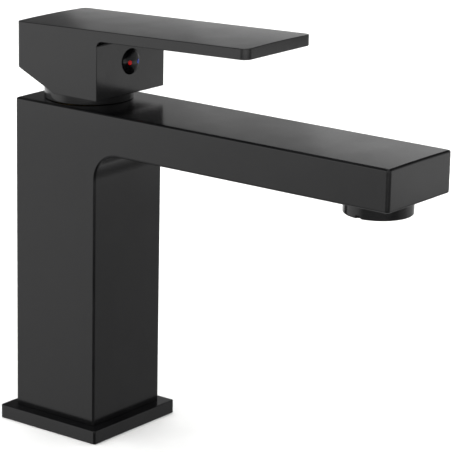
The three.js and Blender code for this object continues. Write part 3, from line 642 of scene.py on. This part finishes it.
def makeTrimCap():
    low, high = boxMm("trim_cap")
    outer, inner = high.x, high.x - trimCap["wall"]
    shoulder = low.z + trimCap["cylinder"]
    mouth, edge = trimCap["mouth"], trimCap["footEdge"]
    rise = high.z - shoulder
    liningStart = shoulder - trimCap["liningDrop"]
    liningRise = rise - trimCap["wall"] + trimCap["liningRise"]
    profile = [(inner, low.z), *arc((outer - edge, low.z + edge), edge, -90, 0, 3)]
    for angle in (radians(a) for a in range(0, 91, 6)):
        profile.append((mouth + (outer - mouth) * cos(angle), shoulder + rise * sin(angle)))
    for angle in (radians(a) for a in range(90, -1, -9)):
        profile.append((mouth + (inner - mouth) * cos(angle), liningStart + liningRise * sin(angle)))
    return finishPiece(turned("domed_trim_cap", profile, 128), ["trim_cap"])


makeTrimCap()

handle = {
    "slope": 2,  # degrees, the top rises to the front
    "height": 29.9,  # of the block over the column's axis
    "leverThickness": 5,
    "fillet": 2.75,  # under the lever, against the block
    "blockFront": 23.2,
    "freeCorner": 3.5,
    "rearCorner": 2.2,
    "chamferEnd": 0.6,
    "chamferHeight": 9.35,
    "edge": 0.28,
    "crown": 0.4,  # of the top, across its width
    "capGap": 0.9,
    "ceiling": (5.65, 10.6),  # of the hollow, in front and behind, over the block's underside
    "socket": (4.25, 22.15),  # half width and height over the underside
    "plugGap": 0.1,
    "plugDepth": 2.8,
    "plugLip": 0.1,  # chamfer round the recess
    "screwGap": 0.2,
}


# Puts a shape that is turned about Z onto the plug's axis, facing the spout's end.
def onPlug(faceY, axisZ, offset=0):
    return lambda x, y, z: (x + offset, faceY - z, axisZ + y)


def makeHandle():
    low, high = boxMm("handle")
    capHalf = boxMm("trim_cap")[1].x + handle["capGap"]
    screwHole = boxMm("grub_screw")[1].x + handle["screwGap"]
    plugLow, plugHigh = boxMm("indicator_plug")
    bottom, rear, free, half = low.z, high.y, low.y, high.x
    axisZ = (plugLow.z + plugHigh.z) / 2
    front, thick = -handle["blockFront"], handle["leverThickness"]

    def topAt(y):
        return bottom + handle["height"] - tan(radians(handle["slope"])) * y

    side = [
        (handle["chamferEnd"], bottom),
        (rear, bottom + handle["chamferHeight"]),
        (rear, topAt(rear)),
        (free, topAt(free)),
        (free, topAt(free) - thick),
        (front, topAt(front) - thick, handle["fillet"]),
        (front, bottom),
    ]
    plan = [
        (half, free, handle["freeCorner"]),
        (half, rear, handle["rearCorner"]),
        (-half, rear, handle["rearCorner"]),
        (-half, free, handle["freeCorner"]),
    ]
    wide = half + past
    piece = prism("lever_handle", roundedOutline(side), -wide, wide, "x")
    crownTop(piece, wide, handle["crown"], lambda y, z: z > topAt(y) - 0.01)
    fromAbove = prism("plan", roundedOutline(plan, 12), bottom - thick, high.z + thick, "z")
    combine(piece, [fromAbove], "INTERSECT")
    roundEdges(piece, handle["edge"], 4)

    ceilingFront, ceilingRear = handle["ceiling"]
    ceiling = [
        (-capHalf, bottom - 2 * past),
        (capHalf, bottom - 2 * past),
        (capHalf, bottom + ceilingRear),
        (-capHalf, bottom + ceilingFront),
    ]
    hollow = prism("hollow", ceiling, -capHalf, capHalf, "x")
    socketHalf, socketTop = handle["socket"]
    socket = bar((-socketHalf, socketHalf), (-socketHalf, socketHalf), (bottom, bottom + socketTop))
    plugRadius = plugHigh.x + handle["plugGap"]
    floorY = handle["blockFront"] - handle["plugDepth"] - handle["plugGap"]
    mouth, lip = handle["blockFront"], handle["plugLip"]
    wall = [(plugRadius, floorY), (plugRadius, mouth - lip), (plugRadius + lip, mouth)]
    wall.append((plugRadius + lip + past, mouth + past))
    recess = turned("recess", wall, 64, False, onPlug(0, axisZ))
    hole = turned("hole", [(screwHole, 0), (screwHole, floorY + past)], 32, False, onPlug(0, axisZ))
    for tool in (hollow, socket, recess, hole):
        combine(piece, [tool])
    return finishPiece(piece, ["handle"])


makeHandle()

plug = {
    "depth": 2.8,
    "backEdge": 0.2,
    "pocketTop": 8,  # past the dome
    "pocketFloor": 0.1,  # under the enamel
    "dotGap": 0.08,
    "dotCrown": 0.1,
    "dotSink": 0.03,  # of the enamel's edge below the dome
}


# The plug's radius, back, axis height, and the height of its dome over the rim.
def plugShape():
    low, high = boxMm("indicator_plug")
    return high.x, high.y, (low.z + high.z) / 2, high.y - low.y - plug["depth"]


dotFacets = 40


def makePlug():
    radius, back, axisZ, rise = plugShape()
    edge = plug["backEdge"]
    profile = [(0, 0), (radius - edge, 0), (radius, edge)]
    for angle in (radians(5 * step) for step in range(19)):
        profile.append((radius * cos(angle), plug["depth"] + rise * sin(angle)))
    piece = turned("domed_plug", profile, 96, False, onPlug(back, axisZ))
    for name in ("hot_dot", "cold_dot"):
        low, high = boxMm(name)
        middle = (low + high) / 2
        reach = high.x - middle.x + plug["dotGap"]
        floor = back - high.y - plug["pocketFloor"]
        wall = [(reach, floor), (reach, plug["pocketTop"])]
        pocket = turned("pocket", wall, dotFacets, False, onPlug(back, axisZ, middle.x))
        combine(piece, [pocket])
    return finishPiece(piece, ["indicator_plug"])


# A drop of enamel that fills its pocket and swells a little over the dome around it.
def makeDot(name):
    low, high = boxMm(name)
    middle = (low + high) / 2
    domeRadius, back, axisZ, rise = plugShape()
    radius = high.x - middle.x
    floor = back - high.y

    def swell(x, y, share):
        dome = rise * sqrt(1 - ((x + middle.x) ** 2 + y ** 2) / domeRadius ** 2)
        return plug["depth"] + dome + plug["dotCrown"] * (1 - share ** 2) - plug["dotSink"]

    rings = []
    levels = [(0, True), (1, True), *((share, False) for share in (1, 0.85, 0.6, 0.3, 0))]
    for share, onFloor in levels:
        ring = []
        for step in range(dotFacets):
            x, y = (radius * share * turn(2 * pi * step / dotFacets) for turn in (cos, sin))
            ring.append(onPlug(back, axisZ, middle.x)(x, y, floor if onFloor else swell(x, y, share)))
        rings.append(ring)
    return finishPiece(loft(name.replace("dot", "enamel"), rings, False), [name])


makePlug()
makeDot("hot_dot")
makeDot("cold_dot")

aerator = {
    "wall": 1.3,
    "lip": 0.8,
    "lipHeight": 1.5,
    "lipEdge": 0.25,
    "edge": 0.6,
    "topEdge": 0.1,
    "seatGap": 0.1,  # under the spout
    "thread": 11.9,
    "threadDepth": 0.35,
    "threadTurns": 8,
    "threadRunOut": 0.5,  # plain stretch at each end of the thread
    "slot": (2.6, 1.4, 1.6),  # width, height and depth of the key slots
    "washerRoom": 1.4,
    "outletDepth": 9.7,
    "insertHeight": 7,
    "insertWall": 1.4,
    "insertEdge": 0.3,
    "grille": 1.4,
    "cellPitch": 2.05,
    "cellWall": 0.32,
    "cellRows": 5,  # each side of the middle row
    "cellMargin": 0.2,  # from the outermost cells to the cup's wall
}


def makeAeratorHousing():
    low, high = boxMm("aerator_housing")
    reach = (low.y + high.y) / 2
    radius, bottom = high.x, low.z
    ringTop = high.z - (aerator["outletDepth"] - aerator["washerRoom"]) - aerator["seatGap"]
    thread = aerator["thread"]
    root, bore = thread - aerator["threadDepth"], thread - aerator["wall"]
    edge, topEdge, lipEdge = aerator["edge"], aerator["topEdge"], aerator["lipEdge"]
    lipInner, lipTop = bore - aerator["lip"], bottom + aerator["lipHeight"]
    profile = arc((lipInner + lipEdge, bottom + lipEdge), lipEdge, 180, 270, 3)
    profile += arc((radius - edge, bottom + edge), edge, -90, 0, 6)
    profile += [(radius, ringTop - topEdge), (radius - topEdge, ringTop), (thread, ringTop)]
    runOut = aerator["threadRunOut"]
    pitch = (high.z - ringTop - 2 * runOut) / aerator["threadTurns"]
    for turn in range(aerator["threadTurns"]):
        crest = ringTop + runOut + (turn + 0.5) * pitch
        profile += [(root, crest - pitch / 2), (thread, crest)]
    profile += [(root, high.z), (bore, high.z), (bore, lipTop), (lipInner, lipTop)]
    piece = turned("aerator_ring", profile, 128, True, standing(0, reach))
    width, height, depth = aerator["slot"]
    for side in (-1, 1):
        xs = sorted((side * (radius - depth), side * (radius + past)))
        combine(piece, [bar(xs, (reach - width / 2, reach + width / 2), (bottom - past, bottom + height))])
    return finishPiece(piece, ["aerator_housing"])


# A cup whose floor is a honeycomb of hexagonal cells.
def makeAeratorInsert():
    low, high = boxMm("aerator_insert")
    middle = (low + high) / 2
    radius, bottom = high.x, low.z
    wall, edge, grille = aerator["insertWall"], aerator["insertEdge"], aerator["grille"]
    put = standing(0, middle.y, bottom)
    profile = [(0, 0), (radius - edge, 0), (radius, edge), (radius, aerator["insertHeight"])]
    profile += [(radius - wall, aerator["insertHeight"]), (radius - wall, grille), (0, grille)]
    piece = turned("honeycomb_insert", profile, 96, False, put)
    pitch, rows = aerator["cellPitch"], aerator["cellRows"]
    cellRadius = (pitch - aerator["cellWall"]) / sqrt(3)
    field = radius - wall - cellRadius - aerator["cellMargin"]
    points, faces = [], []
    for row in range(-rows, rows + 1):
        for column in range(-rows, rows + 1):
            x = (column + row / 2) * pitch
            y = row * pitch * sqrt(3) / 2
            if x * x + y * y > field ** 2:
                continue
            start = len(points)
            for height in (-past, grille + past):
                for corner in range(6):
                    angle = radians(60 * corner + 30)
                    points.append(put(x + cellRadius * cos(angle), y + cellRadius * sin(angle), height))
            faces.append([start + i for i in range(5, -1, -1)])
            faces.append([start + 6 + i for i in range(6)])
            for i in range(6):
                j = (i + 1) % 6
                faces.append([start + i, start + j, start + 6 + j, start + 6 + i])
    combine(piece, [newPiece("cells", points, faces)])
    return finishPiece(piece, ["aerator_insert"])


makeAeratorHousing()
makeAeratorInsert()

# The other pieces keep their CAD shape and get their real material.
for nodeName, node in frame["nodes"].items():
    if nodeName in slotOf:
        node.data.materials.clear()
        node.data.materials.append(finishes[slotOf[nodeName]])
print("inner pieces finished")

studio = {
    "paperHex": ("#f3f3f2", "#f8f8f7"),
    "floorRadius": 8000,
    "overhead": {"power": 4.0, "spread": 100},  # W per square metre of floor, degrees
    "skyHex": "#f6f6f5",
    # Softboxes: centre, width and height, brightness, and the point that each one faces
    "softboxes": {
        "far": {"centre": (600, 110, 240), "size": (380, 270), "glow": 0.6, "aim": (0, 110, 240)},
        "fading": {"centre": (600, 360, 240), "size": (120, 270), "glow": 0.36, "aim": (0, 360, 240)},
        "faded": {"centre": (600, 480, 240), "size": (120, 270), "glow": 0.26, "aim": (0, 480, 240)},
        "right": {"centre": (430, -410, 35), "size": (330, 80), "glow": 0.5, "aim": (0, -90, 150)},
        "left": {"centre": (-560, 430, 70), "size": (460, 130), "glow": 0.3, "aim": (0, -40, 160)},
        "front": {
            "centre": (-255, -408, 108),
            "size": (900, 45),
            "glow": 1.1,
            "aim": (-22, -101, 150),
        },
    },
}


def makeFloor():
    disc = bmesh.new()
    bmesh.ops.create_circle(disc, cap_ends=True, segments=64, radius=studio["floorRadius"] * mm)
    mesh = bpy.data.meshes.new("floor")
    disc.to_mesh(mesh)
    disc.free()
    floor = bpy.data.objects.new("floor", mesh)
    bpy.context.scene.collection.objects.link(floor)
    floor.location.z = -0.2 * mm
    values = {"Roughness": 0.9, "Specular IOR Level": 0.1}
    paper, tree, shader, place = startMaterial("pale studio paper", values)
    feed(tree, shader, Base_Color=twoColours(tree, cloud(tree, place, 30, 3), *studio["paperHex"]))
    mesh.materials.append(paper)
    floor.visible_glossy = False  # the faucet mirrors the studio's softer light instead


def addLight(name, data, centre, aim, mirrored):
    light = bpy.data.objects.new(name, data)
    light.location = centre
    light.rotation_mode = "QUATERNION"
    light.rotation_quaternion = (centre - aim).to_track_quat("Z", "Y")
    light.visible_camera = False
    light.visible_glossy = mirrored
    bpy.context.scene.collection.objects.link(light)


def makeLights():
    overhead = bpy.data.lights.new("overhead", "SUN")
    overhead.energy = studio["overhead"]["power"]
    overhead.angle = radians(studio["overhead"]["spread"])
    addLight("overhead", overhead, Vector((0, 0, 2)), Vector(), False)
    for name, box in studio["softboxes"].items():
        data = bpy.data.lights.new(name + " softbox", "AREA")
        data.shape = "RECTANGLE"
        data.size, data.size_y = (side * mm for side in box["size"])
        data.energy = box["glow"] * pi * data.size * data.size_y
        addLight(name + " softbox", data, Vector(box["centre"]) * mm, Vector(box["aim"]) * mm, True)


# Soft light comes from all round, and each of these dims it. A ramp runs from none to all of the loss over
# the height of a direction, or how far it lies ahead (to the viewer) or across (to the viewer's right).
sky = {
    "strength": 1.1,
    "dimmed": [
        {"loss": 0.88, "height": [(0.16, 0.42), (0.95, 0.85)]},  # a dark ceiling with a pale patch overhead
        {"loss": 0.6, "height": [(-0.2, -0.5)]},
        {"loss": 0.88, "ahead": [(0.18, 0.62)], "height": [(-0.18, -0.22)]},
        {"loss": 0.88, "ahead": [(-0.45, -0.9)], "height": [(-0.02, 0.1)]},  # the softboxes light that side
        {"loss": 0.56, "across": [(0.2, 0.9)]},
    ],
}


def makeSky():
    world = bpy.data.worlds.new("studio")
    bpy.context.scene.world = world
    world.use_nodes = True
    tree = world.node_tree
    tree.nodes.clear()
    direction = addNode(tree, "TexCoord").outputs["Generated"]
    sources = {"height": addNode(tree, "SeparateXYZ", None, {"Vector": direction}).outputs["Z"]}
    for name, turn in (("ahead", 0), ("across", 90)):
        azimuth = radians(camera["azimuth"] + turn)
        settings = {"operation": "DOT_PRODUCT", 1: (sin(azimuth), -cos(azimuth), 0)}
        sources[name] = addNode(tree, "VectorMath", settings, {0: direction}).outputs["Value"]

    def multiply(first, second):
        return addNode(tree, "Math", {"operation": "MULTIPLY"}, {0: first, 1: second}).outputs["Value"]

    light = None
    for dimming in sky["dimmed"]:
        amount = None
        for name, source in sources.items():
            for none, full in dimming.get(name, []):
                settings = {"interpolation_type": "SMOOTHSTEP", "From Min": none, "From Max": full}
                ramp = addNode(tree, "MapRange", settings, {"Value": source}).outputs["Result"]
                amount = multiply(amount, ramp) if amount else ramp
        kept = addNode(tree, "MapRange", {"To Min": 1, "To Max": 1 - dimming["loss"]}, {"Value": amount})
        light = multiply(light, kept.outputs["Result"]) if light else kept.outputs["Result"]
    settings = {"operation": "MULTIPLY", 1: sky["strength"]}
    strength = addNode(tree, "Math", settings, {0: light}).outputs["Value"]
    glow = addNode(tree, "Background", {"Color": (1, 1, 1, 1)}, {"Strength": strength}).outputs["Background"]
    plain = addNode(tree, "Background", {"Color": linearColour(studio["skyHex"])}).outputs["Background"]
    seen = addNode(tree, "LightPath").outputs["Is Camera Ray"]
    both = addNode(tree, "MixShader", None, {0: seen, 1: glow, 2: plain}).outputs["Shader"]
    addNode(tree, "OutputWorld", None, {"Surface": both})


makeFloor()
makeLights()
makeSky()
bpy.context.scene.view_settings.view_transform = "Standard"
print("studio lit")
